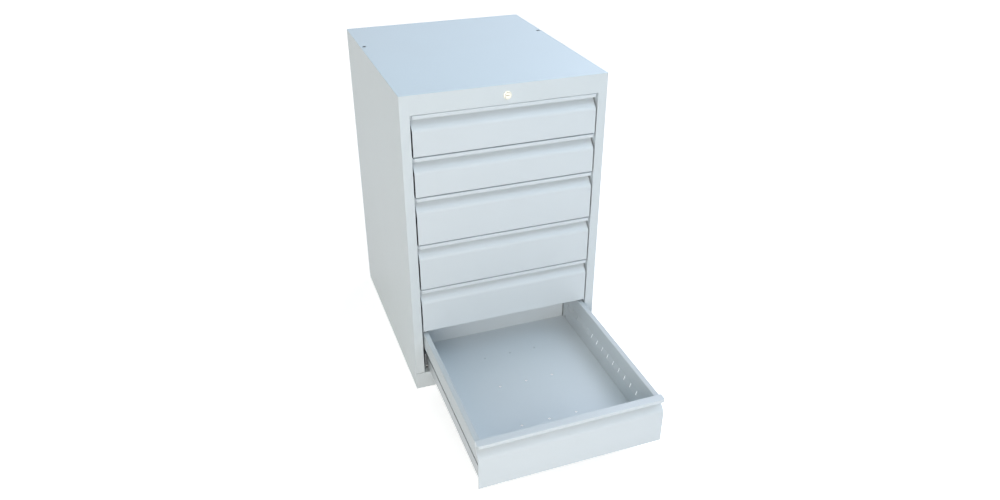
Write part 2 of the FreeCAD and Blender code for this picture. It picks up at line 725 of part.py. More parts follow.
for side in (LEFT, RIGHT):
    pieces.append(side_panel(side))
pieces.extend([top_panel(), fascia(), plinth(), bottom_panel(), back_panel()])
bumpers = []
for side in (LEFT, RIGHT):
    pair = [upright(side, "front", size.upright_front), upright(side, "rear", size.upright_rear)]
    pieces.append(group(HAND[side] + "_uprights", pair))
    rails = [cabinet_rail(index, side) for index in range(1, DRAWERS + 1)]
    pieces.append(group(HAND[side] + "_cabinet_rails", rails))
    bumpers.extend(rail_bumper(index, side) for index in range(1, DRAWERS + 1))
pieces.append(group("rail_bumpers", bumpers))
for index in range(1, DRAWERS + 1):
    pieces.append(drawer_front(index))
    pieces.append(group("drawer_%d_pan" % index, [drawer_tray(index), drawer_catch(index)]))
    for side in (LEFT, RIGHT):
        pieces.append(drawer_side(index, side))
        pieces.append(drawer_rail(index, side))
    cages = [ball_cage(index, side) for side in (LEFT, RIGHT)]
    pieces.append(group("drawer_%d_ball_cages" % index, cages))
pieces.extend([lock_housing(), lock_nut(), lock_plug(), lock_rod(), lock_bar()])
guides = [lock_guide("upper", size.guide_upper), lock_guide("lower", size.guide_lower)]
pieces.append(group("lock_guides", guides))

document.recompute()
for item in document.Objects:
    if "Invalid" in item.State or "Error" in item.State:
        raise RuntimeError("%s is in the state %s" % (item.Label, item.State))
os.makedirs("parts", exist_ok=True)
facets = 0
for piece in pieces:
    shape = piece.Shape
    if shape.isNull() or not shape.isValid():
        raise RuntimeError(piece.Label + " has no valid shape")
    if not shape.Solids:
        raise RuntimeError(piece.Label + " has no solid")
    shape.exportStep("parts/%s.step" % piece.Label)
    facets += len(shape.tessellate(0.2)[1])
print(len(pieces), "nodes,", facets, "facets")
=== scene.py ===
import json
import math

import bmesh
import bpy
from mathutils import Matrix, Vector


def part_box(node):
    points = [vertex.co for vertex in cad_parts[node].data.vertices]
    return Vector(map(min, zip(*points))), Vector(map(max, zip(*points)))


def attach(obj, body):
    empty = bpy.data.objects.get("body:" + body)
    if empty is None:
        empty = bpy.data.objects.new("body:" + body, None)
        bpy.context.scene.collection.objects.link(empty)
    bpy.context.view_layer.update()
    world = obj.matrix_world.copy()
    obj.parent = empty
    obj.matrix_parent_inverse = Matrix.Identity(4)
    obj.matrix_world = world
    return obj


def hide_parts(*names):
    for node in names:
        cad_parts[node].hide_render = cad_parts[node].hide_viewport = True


bl_info = {
    "name": "Drawer unit",
    "version": (1, 0, 0),
    "blender": (4, 5, 0),
    "location": "View3D > Sidebar > Drawer unit",
    "description": "Gives the drawer unit's CAD frame its folded sheets, slides, lock and studio",
    "category": "Add Mesh",
}

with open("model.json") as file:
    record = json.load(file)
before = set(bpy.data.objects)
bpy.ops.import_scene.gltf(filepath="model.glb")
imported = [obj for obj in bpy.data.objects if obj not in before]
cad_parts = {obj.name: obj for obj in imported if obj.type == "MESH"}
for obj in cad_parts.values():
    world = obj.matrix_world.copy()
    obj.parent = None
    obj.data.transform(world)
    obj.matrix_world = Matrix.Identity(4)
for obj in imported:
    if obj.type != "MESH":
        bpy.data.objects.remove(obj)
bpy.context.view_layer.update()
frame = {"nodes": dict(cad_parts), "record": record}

LEFT, RIGHT = -1, 1
HAND = {LEFT: "left", RIGHT: "right"}
ALONG = {"X": Vector((1, 0, 0)), "Y": Vector((0, 1, 0)), "Z": Vector((0, 0, 1))}

# Places in the cabinet, in metres: across it from the middle plane, from front to back, and up

CABINET_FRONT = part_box("fascia")[0].y
CABINET_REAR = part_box("back_panel")[1].y
HALF_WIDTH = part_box("top_panel")[1].x
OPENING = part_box("fascia")[1].x
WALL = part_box("drawer_1_pan")[1].x
UPPER_WALL = WALL + 0.0045
RIM_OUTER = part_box("drawer_1_right_side")[1].x
RAIL_INNER = WALL + 0.001
RAIL_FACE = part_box("drawer_1_right_rail")[1].x
TRACK = 0.2115
FIXED_RAIL_FRONT = CABINET_FRONT + 0.012
LOCK_LEVEL = 0.7745

# Heights above the lower edge of a drawer's front

FLOOR_RISE = 0.021
STEP_LOW, STEP_HIGH = 0.061, 0.076
SKIRT_LOW = 0.073
RAIL_LOW, RAIL_HIGH = 0.010, 0.0415
FIXED_RAIL_LOW, FIXED_RAIL_HIGH = 0.005, 0.0465

# How far the middles of the balls stand above and below the drawer's rail

BALL_RISE = 0.00155

# Holes in a drawer's floor: their places across it, and behind its front

HOLES_ACROSS = (-0.07, 0.0, 0.07)
HOLES_BEHIND = (0.135, 0.285, 0.405)

# Slots in a side wall: how many, the first one behind the front, and what the step keeps round them

SLOTS = 16
FIRST_SLOT = 0.036
SLOT_MARGIN = 0.0015

# Gap between a side wall and its front's sheet, and how much wider it is along the sloped recess

WALL_GAP = 0.0009
DIAGONAL = 1.42

# What is on the front ends of the fixed rails, with a near-black block of painted shadow under each
# stop: its name and finish, and its lowest and highest corner, across from the middle plane, behind
# the rails' ends and above the front's lower edge

RAIL_ENDS = (
    ("rail_stops", "moulded_nylon", (0.2115, 0.0, 0.0068), (0.2186, 0.003, 0.0096)),
    ("rail_end_painted_shadows", "painted_shadow_black", (0.2092, -0.0016, 0.0034), (0.2198, -0.0001, 0.0068)))

# A distance too small to see, which tells faces that touch a plane from those beyond it

HAIR = 0.00001

# Lamps: name, place, target, width in metres, power in watts and tint

LAMPS = (
    ("overhead_softbox", (0.3, -0.5, 2.9), (0, -0.2, 0.6), 2.6, 16.4, (0.79, 0.91, 1.0)),
    ("front_softbox", (-1.4, -3.6, 1.3), (0, -0.4, 0.4), 2.4, 65.1, (1.0, 0.944, 0.885)),
    ("low_softbox", (-0.9, -3.9, 0.5), (0, -0.4, 0.3), 1.6, 8.0, (0.98, 1.0, 1.0)),
    ("left_softbox", (-3.0, 0.4, 1.1), (-0.2, 0, 0.4), 1.8, 14.1, (0.925, 1.0, 0.925)),
    ("right_front_softbox", (1.5, -1.6, 2.5), (0, -0.3, 0.4), 2.0, 29.5, (0.665, 0.84, 1.0)),
    ("right_back_softbox", (1.4, 0.8, 2.4), (0, -0.3, 0.4), 2.0, 19.7, (0.895, 0.87, 1.0)))


# Sizes and colours that can be changed

def length(name, description, default):
    """A size in metres"""
    return bpy.props.FloatProperty(
        name=name, description=description, default=default, min=0.0, precision=5,
        unit="LENGTH", subtype="DISTANCE")


def colour(name, description, default):
    """A colour, linear"""
    return bpy.props.FloatVectorProperty(
        name=name, description=description, default=default, size=3, min=0.0, max=1.0,
        subtype="COLOR")


class DrawerUnitSizes(bpy.types.PropertyGroup):
    """Sizes of the folded sheets and fittings"""

    sheet: length("Sheet", "Thickness of the cabinet's and the drawers' sheets", 0.001)
    front_sheet: length("Front sheet", "Thickness of the drawer fronts", 0.0012)
    edge: length("Edge", "Rounding of cut sheet edges", 0.00025)
    fold: length("Fold", "Outside radius of the cabinet's folds", 0.0009)
    joint: length("Joint", "Gap between a post's foot and the plinth", 0.0016)
    face_bend: length("Face bend", "Radius where a front bends back to its recess", 0.012)
    throat_bend: length("Throat bend", "Inside radius at the back of the finger recess", 0.004)
    lip_bend: length("Lip bend", "Inside radius of the lip's folds", 0.0008)
    grip_depth: length("Grip depth", "Depth of the finger recess", 0.02)
    grip_throat: length("Grip throat", "Height of the recess behind the lip", 0.016)
    grip_nose: length("Grip nose", "Height of the lip's nose", 0.008)
    foot_bend: length("Foot bend", "Outside radius at the lower edge of a front", 0.002)
    front_return: length("Front return", "Depth of the return under a front", 0.012)
    lip_corner: length("Lip corner", "Corner cut from each end of the lip", 0.0034)
    step_bend: length("Step bend", "Radius of the bends at the side walls' slotted step", 0.0006)
    rim_bend: length("Rim bend", "Outside radius of the side walls' rim", 0.0022)
    pan_bend: length("Pan bend", "Inside radius of the drawer floor's bends", 0.0015)
    corner_gap: length("Corner gap", "Gap between a drawer's back wall and its side walls", 0.0025)
    floor_hole: length("Floor hole", "Radius of the holes in a drawer floor", 0.0025)
    slot_width: length("Slot width", "Width of the slots for dividers", 0.0023)
    slot_pitch: length("Slot pitch", "Distance between the slots for dividers", 0.0305)
    rail_sheet: length("Rail sheet", "Thickness of a drawer's slide rail", 0.0012)
    fixed_rail_sheet: length("Fixed rail sheet", "Thickness of a cabinet's slide rail", 0.0015)
    ball: length("Ball", "Radius of the balls in a slide", 0.0019)
    bend_steps: bpy.props.IntProperty(
        name="Bend steps", description="Faces across each bend", default=8, min=2, max=24)


class DrawerUnitColours(bpy.types.PropertyGroup):
    """Colours of the finishes"""

    cabinet: colour("Cabinet", "Powder coat of the cabinet", (0.695, 0.752, 0.775))
    front: colour("Fronts", "Powder coat of the drawer fronts", (0.70, 0.755, 0.785))
    # Painted light: the top's colour is bluer than the cabinet's paint, to paint the bluish light
    # that falls on it from above
    top: colour("Top", "Powder coat of the top", (0.665, 0.792, 0.867))
    # Painted shade: the side walls get a darker copy of the drawers' paint, for the shade inside
    # the drawer
    drawer: colour("Drawers", "Powder coat of the drawers' side walls", (0.62, 0.666, 0.69))
    # Painted light: the floors and back walls get a lighter, bluer copy of the drawers' paint, for
    # the light that falls into the drawer from above
    tray: colour("Trays", "Powder coat of the drawers' floors and back walls", (0.714, 0.768, 0.80))
    zinc: colour("Zinc", "Zinc plate of the slides and brackets", (0.47, 0.49, 0.50))
    bright: colour("Bright steel", "Steel of the ball cages and balls", (0.55, 0.56, 0.58))
    nylon: colour("Nylon", "Plastic of the slides' stops", (0.86, 0.86, 0.83))
    # Painted shadow: this near-black colour paints the dark gap under the rails' stops
    shadow_black: colour("Rubber", "End caps of the slides' fixed rails", (0.02, 0.02, 0.022))
    nickel: colour("Nickel", "Plate of the lock", (0.83, 0.81, 0.72))
    floor: colour("Floor", "Studio floor", (0.92, 0.92, 0.92))


def sizes():
    return bpy.context.scene.drawer_unit_sizes


# Finishes

class Value:
    """A shader socket in an expression: each sum, product or maximum adds its Math node"""

    def __init__(self, finish, socket):
        self.finish = finish
        self.socket = socket

    def joined(self, operation, first, second):
        made = self.finish.node("ShaderNodeMath", {"operation": operation}, {0: first, 1: second})
        return Value(self.finish, made.outputs[0])

    def __add__(self, other):
        return self.joined("ADD", self, other)

    def __radd__(self, other):
        return self.joined("ADD", other, self)

    def __mul__(self, other):
        return self.joined("MULTIPLY", self, other)

    def __rmul__(self, other):
        return self.joined("MULTIPLY", other, self)

    def __or__(self, other):
        return self.joined("MAXIMUM", self, other)


class Finish:
    """The node tree of a finish"""

    def __init__(self, tree):
        self.tree = tree
        tree.nodes.clear()

    def node(self, kind, settings=None, inputs=None):
        """A node of a kind, with its settings made first and then its inputs set or linked"""
        made = self.tree.nodes.new(kind)
        for name, setting in (settings or {}).items():
            setattr(made, name, setting)
        for name, value in (inputs or {}).items():
            if isinstance(value, Value):
                self.tree.links.new(value.socket, made.inputs[name])
            elif isinstance(value, bpy.types.NodeSocket):
                self.tree.links.new(value, made.inputs[name])
            else:
                made.inputs[name].default_value = value
        return made

    def place(self, stretch=(1.0, 1.0, 1.0)):
        """Object coordinates, stretched along the piece"""
        found = self.node("ShaderNodeTexCoord").outputs["Object"]
        return self.node("ShaderNodeMapping", {}, {"Vector": found, "Scale": stretch}).outputs[0]

    def cloud(self, place, scale, detail=2.0, roughness=0.5):
        """Soft noise from 0 to 1"""
        made = self.node("ShaderNodeTexNoise", {}, {
            "Vector": place, "Scale": scale, "Detail": detail, "Roughness": roughness})
        return Value(self, made.outputs[0])

    def blend(self, share, first, second):
        """A colour between two colours"""
        made = self.node("ShaderNodeMix", {"data_type": "RGBA"}, {
            0: share, 6: (*first, 1.0), 7: (*second, 1.0)})
        return made.outputs[2]

    def bump(self, height, distance):
        made = self.node("ShaderNodeBump", {}, {"Height": height, "Distance": distance})
        return made.outputs[0]

    def surface(self, shader):
        self.node("ShaderNodeOutputMaterial", {}, {"Surface": shader.outputs[0]})


finishes = {}


def new_finish(name):
    """A finish with an empty node tree, kept under its name"""
    material = bpy.data.materials.new(name)
    material.use_nodes = True
    finishes[name] = material
    return Finish(material.node_tree)


def shade(tone, amount):
    """A tone made darker or lighter"""
    return tuple(min(1.0, channel * amount) for channel in tone)


def powder_coat(name, paint, roughness=0.42):
    """Baked powder coat: a fine orange peel, and a tone that drifts a little over a sheet"""
    finish = new_finish(name)
    place = finish.place()
    drift = finish.cloud(place, scale=5.0)
    peel = finish.cloud(place, scale=620.0, detail=3.0, roughness=0.55)
    waves = finish.cloud(place, scale=150.0, detail=1.0)
    tone = finish.blend(drift * 0.7 + peel * 0.3, shade(paint, 0.965), shade(paint, 1.035))
    shader = finish.node("ShaderNodeBsdfPrincipled", {}, {
        "Base Color": tone,
        "Roughness": roughness - 0.06 + peel * 0.08 + drift * 0.06,
        "Coat Weight": 0.06 + waves * 0.08,
        "Coat Roughness": 0.25,
        "IOR": 1.5,
        "Normal": finish.bump(peel * 0.7 + waves * 0.5, distance=0.00006)})
    finish.surface(shader)


def zinc_plate(name, metal):
    """Rolled and zinc-plated steel: draw lines along the piece and cloudy grey spangle"""
    finish = new_finish(name)
    lines = finish.cloud(finish.place((900.0, 12.0, 900.0)), scale=1.0)
    place = finish.place()
    spangle = finish.node("ShaderNodeTexVoronoi", {"feature": "F1"}, {
        "Vector": place, "Scale": 160.0})
    flecks = Value(finish, spangle.outputs["Distance"])
    drift = finish.cloud(place, scale=14.0)
    tone = finish.blend(flecks * 0.5 + drift * 0.5, shade(metal, 0.88), shade(metal, 1.15))
    shader = finish.node("ShaderNodeBsdfPrincipled", {}, {
        "Base Color": tone,
        "Metallic": 0.85,
        "Roughness": 0.34 + lines * 0.14 + flecks * 0.08,
        "Normal": finish.bump(lines, distance=0.00003)})
    finish.surface(shader)


def bright_steel(name, metal):
    """Drawn bright steel, with fine lines and a thin film of oil"""
    finish = new_finish(name)
    lines = finish.cloud(finish.place((1400.0, 20.0, 1400.0)), scale=1.0)
    film = finish.cloud(finish.place(), scale=60.0)
    tone = finish.blend(film, shade(metal, 0.92), shade(metal, 1.12))
    shader = finish.node("ShaderNodeBsdfPrincipled", {}, {
        "Base Color": tone,
        "Metallic": 1.0,
        "Roughness": 0.2 + film * 0.12,
        "Normal": finish.bump(lines, distance=0.00002)})
    finish.surface(shader)


def moulded_nylon(name, plastic):
    """Natural nylon: a waxy, slightly uneven white"""
    finish = new_finish(name)
    place = finish.place()
    flow = finish.cloud(place, scale=180.0)
    grain = finish.cloud(place, scale=1500.0)
    tone = finish.blend(flow, shade(plastic, 0.95), shade(plastic, 1.04))
    shader = finish.node("ShaderNodeBsdfPrincipled", {}, {
        "Base Color": tone,
        "Roughness": 0.42 + flow * 0.16,
        "Subsurface Weight": 0.1,
        "Subsurface Radius": (0.002, 0.002, 0.0018),
        "Normal": finish.bump(grain, distance=0.00003)})
    finish.surface(shader)


def painted_shadow_black(name, shadow_black):
    """A near-black matt finish with a fine grain: painted shadow under the rails' stops"""
    finish = new_finish(name)
    place = finish.place()
    grain = finish.cloud(place, scale=900.0)
    shadow_mottle = finish.cloud(place, scale=90.0)
    shader = finish.node("ShaderNodeBsdfPrincipled", {}, {
        "Base Color": finish.blend(shadow_mottle, shade(shadow_black, 0.8), shade(shadow_black, 1.3)),
        "Roughness": 0.62 + grain * 0.2,
        "Normal": finish.bump(grain, distance=0.00004)})
    finish.surface(shader)


def satin_nickel(name, metal):
    """Nickel plate over a turned face"""
    finish = new_finish(name)
    place = finish.place()
    haze = finish.cloud(place, scale=300.0)
    turned = finish.cloud(place, scale=2200.0)
    tone = finish.blend(haze, shade(metal, 0.94), shade(metal, 1.06))
    shader = finish.node("ShaderNodeBsdfPrincipled", {}, {
        "Base Color": tone,
        "Metallic": 0.9,
        "Roughness": 0.26 + haze * 0.12,
        "Normal": finish.bump(turned, distance=0.00002)})
    finish.surface(shader)


# Sheet-metal work

def only(kind, items):
    return [item for item in items if isinstance(item, kind)]


def middle(face):
    return face.calc_center_median()


def facing(direction):
    """A turn that lays the Z axis along a direction"""
    return direction.to_track_quat("Z", "Y").to_matrix().to_4x4()


def corner_turn(corner):
    """The angle by which a wire turns at one of its corners"""
    before, after = [edge.other_vert(corner).co - corner.co for edge in corner.link_edges]
    return math.pi - before.angle(after)


def folded(shape, points, spot, moves, outward, steps=0):
    """Adds a folded sheet: a cross-section drawn out by moves.

    Each point of the cross-section is (u, v, radius of its bend), and spot turns u and v into a
    place. The side that is drawn is the one that looks outward. Gives the row of faces that each
    move makes."""
    corners = [shape.verts.new(spot(u, v)) for u, v, radius in points]
    for pair in zip(corners, corners[1:]):
        shape.edges.new(pair)
    for corner, (u, v, radius) in zip(corners, points):
        if radius > 0:
            bmesh.ops.bevel(
                shape, geom=[corner], offset=radius * math.tan(corner_turn(corner) / 2),
                offset_type="OFFSET", segments=steps or sizes().bend_steps, profile=0.5,
                affect="VERTICES", material=-1)
    edges = [edge for edge in shape.edges if edge.is_wire]
    rows = []
    for move in moves:
        made = bmesh.ops.extrude_edge_only(shape, edges=edges)["geom"]
        verts = only(bmesh.types.BMVert, made)
        bmesh.ops.translate(shape, verts=verts, vec=move)
        moved = set(verts)
        edges = [edge for edge in only(bmesh.types.BMEdge, made) if moved.issuperset(edge.verts)]
        rows.append(only(bmesh.types.BMFace, made))
    look_out([face for row in rows for face in row], outward, shape)
    return rows


def look_out(faces, outward, shape):
    """Turns the faces of one sheet so that its largest face along a direction looks that way"""
    bmesh.ops.recalc_face_normals(shape, faces=faces)
    largest = max(faces, key=lambda face: abs(face.normal.dot(outward)) * face.calc_area())
    if largest.normal.dot(outward) < 0:
        bmesh.ops.reverse_faces(shape, faces=faces)


def remove(shape, faces):
    bmesh.ops.delete(shape, geom=faces, context="FACES")


def with_borders(faces):
    """Faces with all of their edges and corners"""
    return [*faces, *{item for face in faces for item in (*face.edges, *face.verts)}]


def cut_off(shape, geometry, place, normal):
    """Cuts off what lies beyond a plane"""
    bmesh.ops.bisect_plane(
        shape, geom=geometry, dist=1e-6, plane_co=place, plane_no=normal, clear_outer=True)


def punched(shape, face, centres, radius, steps):
    """Replaces a flat face by the same face with round holes in it"""
    normal = face.normal.copy()
    border = list(face.edges)
    bmesh.ops.delete(shape, geom=[face], context="FACES_ONLY")
    for centre in centres:
        ring = bmesh.ops.create_circle(
            shape, cap_ends=False, segments=steps, radius=radius,
            matrix=Matrix.Translation(centre) @ facing(normal))["verts"]
        border.extend({edge for vert in ring for edge in vert.link_edges})
    made = bmesh.ops.triangle_fill(
        shape, use_beauty=True, use_dissolve=False, edges=border, normal=normal)["geom"]
    for piece in only(bmesh.types.BMFace, made):
        if piece.normal.dot(normal) < 0:
            piece.normal_flip()


def rounded_box(shape, low, high, radius, steps):
    """Adds a closed block with rounded edges"""
    size = [high[axis] - low[axis] for axis in range(3)]
    centre = [(high[axis] + low[axis]) / 2 for axis in range(3)]
    place = Matrix.Translation(centre) @ Matrix.Diagonal((*size, 1.0))
    corners = bmesh.ops.create_cube(shape, size=1.0, matrix=place)["verts"]
    edges = list({edge for corner in corners for edge in corner.link_edges})
    bmesh.ops.bevel(
        shape, geom=edges, offset=radius, offset_type="OFFSET", segments=steps, profile=0.5,
        affect="EDGES", material=-1)


def settle(piece):
    """Turns a piece's modifiers into its mesh"""
    before = piece.data
    graph = bpy.context.evaluated_depsgraph_get()
    piece.data = bpy.data.meshes.new_from_object(piece.evaluated_get(graph))
    piece.modifiers.clear()
    bpy.data.meshes.remove(before)


def finish_piece(name, shape, body, nodes, material, sheet=0.0, edge=0.0, sharp=35.0):
    """Makes a piece of a shape: gives a sheet its thickness and soft edges, paints and mounts it"""
    mesh = bpy.data.meshes.new(name)
    shape.to_mesh(mesh)
    shape.free()
    piece = bpy.data.objects.new(name, mesh)
    bpy.context.scene.collection.objects.link(piece)
    if sheet:
        wall = piece.modifiers.new("sheet", "SOLIDIFY")
        wall.thickness = sheet
        wall.offset = -1.0
        wall.use_even_offset = True
    if edge:
        soft = piece.modifiers.new("edge", "BEVEL")
        soft.width = edge
        soft.segments = 2
        soft.limit_method = "ANGLE"
        soft.angle_limit = math.radians(50)
    settle(piece)
    piece.data.shade_smooth()
    piece.data.set_sharp_from_angle(angle=math.radians(sharp))
    flat = piece.modifiers.new("flat", "WEIGHTED_NORMAL")
    flat.keep_sharp = True
    settle(piece)
    piece.data.name = name
    piece.data.materials.clear()
    piece.data.materials.append(finishes[material])
    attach(piece, body)
    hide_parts(*nodes)
    return piece


class Drawer:
    """Where a drawer stands: the plane of its front, and its front's lower and upper edge"""

    def __init__(self, index):
        self.body = "drawer_%d" % index
        self.cages = "cages_%d" % index
        low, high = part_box(self.body + "_front")
        self.front, self.level, self.head = low.y, low.z, high.z
        self.half_width = high.x
        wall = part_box(self.body + "_left_side")[1]
        self.wall_rear, self.rim = wall.y, wall.z


def drawers():
    return [Drawer(index) for index in range(1, 7)]


# Cabinet

class DRAWERUNIT_OT_side_panels(bpy.types.Operator):
    """Folds the side sheets into the front posts"""

    bl_idname = "drawer_unit.side_panels"
    bl_label = "Side panels"

    def execute(self, context):
        size = sizes()
        post_return, hem_width = 0.022, 0.015
        post_foot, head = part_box("plinth")[1].z + size.joint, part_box("left_side_panel")[1].z
        rear = CABINET_REAR - size.sheet
        for side in (LEFT, RIGHT):
            shape = bmesh.new()
            plan = [
                (OPENING, CABINET_FRONT + post_return, 0), (OPENING, CABINET_FRONT, size.fold / 3),
                (HALF_WIDTH, CABINET_FRONT, size.fold), (HALF_WIDTH, CABINET_REAR, 0)]
            rows = folded(
                shape, plan, lambda u, v: (side * u, v, 0.0),
                [ALONG["Z"] * post_foot, ALONG["Z"] * (head - post_foot)], side * ALONG["X"])
            remove(shape, [face for face in rows[0] if middle(face).y < CABINET_FRONT + size.fold])
            hem = [(HALF_WIDTH - size.sheet, rear, 0), (HALF_WIDTH - hem_width, rear, 0)]
            folded(shape, hem, lambda u, v: (side * u, v, 0.0), [ALONG["Z"] * head], ALONG["Y"])
            name = HAND[side] + "_side_panel"
            finish_piece(name + "_sheet", shape, "cabinet", [name], "cabinet_coat",
                         sheet=size.sheet, edge=size.edge)
        return {"FINISHED"}


class DRAWERUNIT_OT_top(bpy.types.Operator):
    """Makes the top with its two fixing holes and the skirts below it"""

    bl_idname = "drawer_unit.top"
    bl_label = "Top"

    def execute(self, context):
        size = sizes()
        hole_inset, hole_depth, hole_radius = 0.010, 0.408, 0.005
        skirt_front, skirt_rear, skirt_end = 0.024, 0.090, 0.002
        low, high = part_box("top_panel")
        depth = high.y - low.y
        shape = bmesh.new()
        plate = folded(
            shape, [(low.x, high.z, 0), (high.x, high.z, 0)], lambda u, v: (u, low.y, v),
            [ALONG["Y"] * depth], ALONG["Z"])
        holes = [(side * (high.x - hole_inset), low.y + hole_depth, high.z)
                 for side in (LEFT, RIGHT)]
        punched(shape, plate[0][0], holes, hole_radius, steps=40)
        underside = high.z - size.sheet
        for side in (LEFT, RIGHT):
            outer = side * (high.x - size.sheet)
            folded(shape, [(outer, underside, 0), (outer, low.z, 0)],
                   lambda u, v: (u, low.y + skirt_front, v),
                   [ALONG["Y"] * (depth - skirt_front - skirt_rear)], side * ALONG["X"])
        half = OPENING - skirt_end
        for place, outward in ((low.y + size.sheet, -1), (high.y - 2 * size.sheet, 1)):
            folded(shape, [(place, underside, 0), (place, low.z, 0)],
                   lambda u, v: (-half, u, v), [ALONG["X"] * 2 * half], outward * ALONG["Y"])
        finish_piece("top_sheet", shape, "cabinet", ["top_panel"], "top_coat_painted_skylight",
                     sheet=size.sheet, edge=0.0004)
        return {"FINISHED"}


class DRAWERUNIT_OT_back_and_bottom(bpy.types.Operator):
    """Cuts the plain sheets that close the back and the bottom"""

    bl_idname = "drawer_unit.back_and_bottom"
    bl_label = "Back and bottom"

    def execute(self, context):
        setback = 0.024
        low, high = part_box("back_panel")
        self.cut_sheet("back_panel", [(low.z, high.y, 0), (high.z, high.y, 0)],
                       lambda u, v: (low.x, v, u), high.x - low.x, ALONG["Y"])
        low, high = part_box("bottom_panel")
        self.cut_sheet("bottom_panel", [(low.y + setback, high.z, 0), (high.y, high.z, 0)],
                       lambda u, v: (low.x, u, v), high.x - low.x, ALONG["Z"])
        return {"FINISHED"}

    def cut_sheet(self, name, ends, spot, width, outward):
        size = sizes()
        shape = bmesh.new()
        folded(shape, ends, spot, [ALONG["X"] * width], outward)
        finish_piece(name + "_sheet", shape, "cabinet", [name], "cabinet_coat",
                     sheet=size.sheet, edge=size.edge)


class DRAWERUNIT_OT_fascia(bpy.types.Operator):
    """Folds the strip above the drawers and cuts the hole for the lock"""

    bl_idname = "drawer_unit.fascia"
    bl_label = "Fascia"

    def execute(self, context):
        size = sizes()
        lock_hole = 0.009
        low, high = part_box("fascia")
        shape = bmesh.new()
        section = [(high.y, low.z, 0), (low.y, low.z, size.fold), (low.y, high.z, 0)]
        rows = folded(shape, section, lambda u, v: (low.x, u, v),
                      [ALONG["X"] * (high.x - low.x)], -ALONG["Y"])
        face = max(rows[0], key=lambda face: face.calc_area())
        punched(shape, face, [(0, low.y, LOCK_LEVEL)], lock_hole, steps=40)
        finish_piece("fascia_sheet", shape, "cabinet", ["fascia"], "cabinet_coat",
                     sheet=size.sheet)
        return {"FINISHED"}


class DRAWERUNIT_OT_plinth(bpy.types.Operator):
    """Folds the plinth and lays the foot ring"""

    bl_idname = "drawer_unit.plinth"
    bl_label = "Plinth"

    def execute(self, context):
        size = sizes()
        ledge, ring_width = 0.030, 0.020
        low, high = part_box("plinth")
        inner = high.x - size.sheet
        shape = bmesh.new()
        section = [(low.y + ledge, high.z, 0), (low.y, high.z, size.fold), (low.y, low.z, 0)]
        rows = folded(
            shape, section, lambda u, v: (low.x, u, v),
            [ALONG["X"] * size.sheet, ALONG["X"] * 2 * inner, ALONG["X"] * size.sheet], -ALONG["Y"])
        remove(shape, [face for face in rows[0] + rows[2] if middle(face).y > low.y + size.fold])
        ring = folded(
            shape, [(-inner, low.z, 0), (inner, low.z, 0)], lambda u, v: (u, low.y + size.sheet, v),
            [ALONG["Y"] * (high.y - low.y - size.sheet)], -ALONG["Z"])
        bmesh.ops.inset_region(
            shape, faces=ring[0], thickness=ring_width, use_boundary=True, use_even_offset=True)
        remove(shape, ring[0])
        finish_piece("plinth_sheet", shape, "cabinet", ["plinth"], "cabinet_coat",
                     sheet=size.sheet, edge=size.edge)
        return {"FINISHED"}


# Drawers

class DRAWERUNIT_OT_drawer_fronts(bpy.types.Operator):
    """Folds the drawer fronts: face, bend, finger recess, lip and nose"""

    bl_idname = "drawer_unit.drawer_fronts"
    bl_label = "Drawer fronts"

    def execute(self, context):
        for drawer in drawers():
            self.fold_front(sizes(), drawer)
        return {"FINISHED"}

    def fold_front(self, size, drawer):
        front, head, sheet = drawer.front, drawer.head, size.front_sheet
        throat, back = head - size.grip_throat, front + size.grip_depth
        section = [
            (front + size.front_return, drawer.level, 0), (front, drawer.level, size.foot_bend),
            (front, throat - size.grip_depth, size.face_bend), (back, throat, size.throat_bend),
            (back, head - sheet, size.lip_bend), (front + sheet, head - sheet, size.lip_bend),
            (front + sheet, head - size.grip_nose, 0)]
        shape = bmesh.new()
        folded(shape, section, lambda u, v: (-drawer.half_width, u, v),
               [ALONG["X"] * 2 * drawer.half_width], -ALONG["Y"])
        foot = drawer.level + 0.0001
        for side in (LEFT, RIGHT):
            lip = [face for face in shape.faces if middle(face).z > head - size.grip_nose]
            corner = side * (drawer.half_width - size.lip_corner)
            cut_off(shape, with_borders(lip), (corner, front, head), (side, -1, 0))
            below = [face for face in shape.faces if middle(face).z < foot]
            corner = (side * drawer.half_width, front + size.foot_bend, drawer.level)
            cut_off(shape, with_borders(below), corner, (side, 1, 0))
        finish_piece(drawer.body + "_front_sheet", shape, drawer.body, [drawer.body + "_front"],
                     "front_coat", sheet=sheet, edge=size.edge)


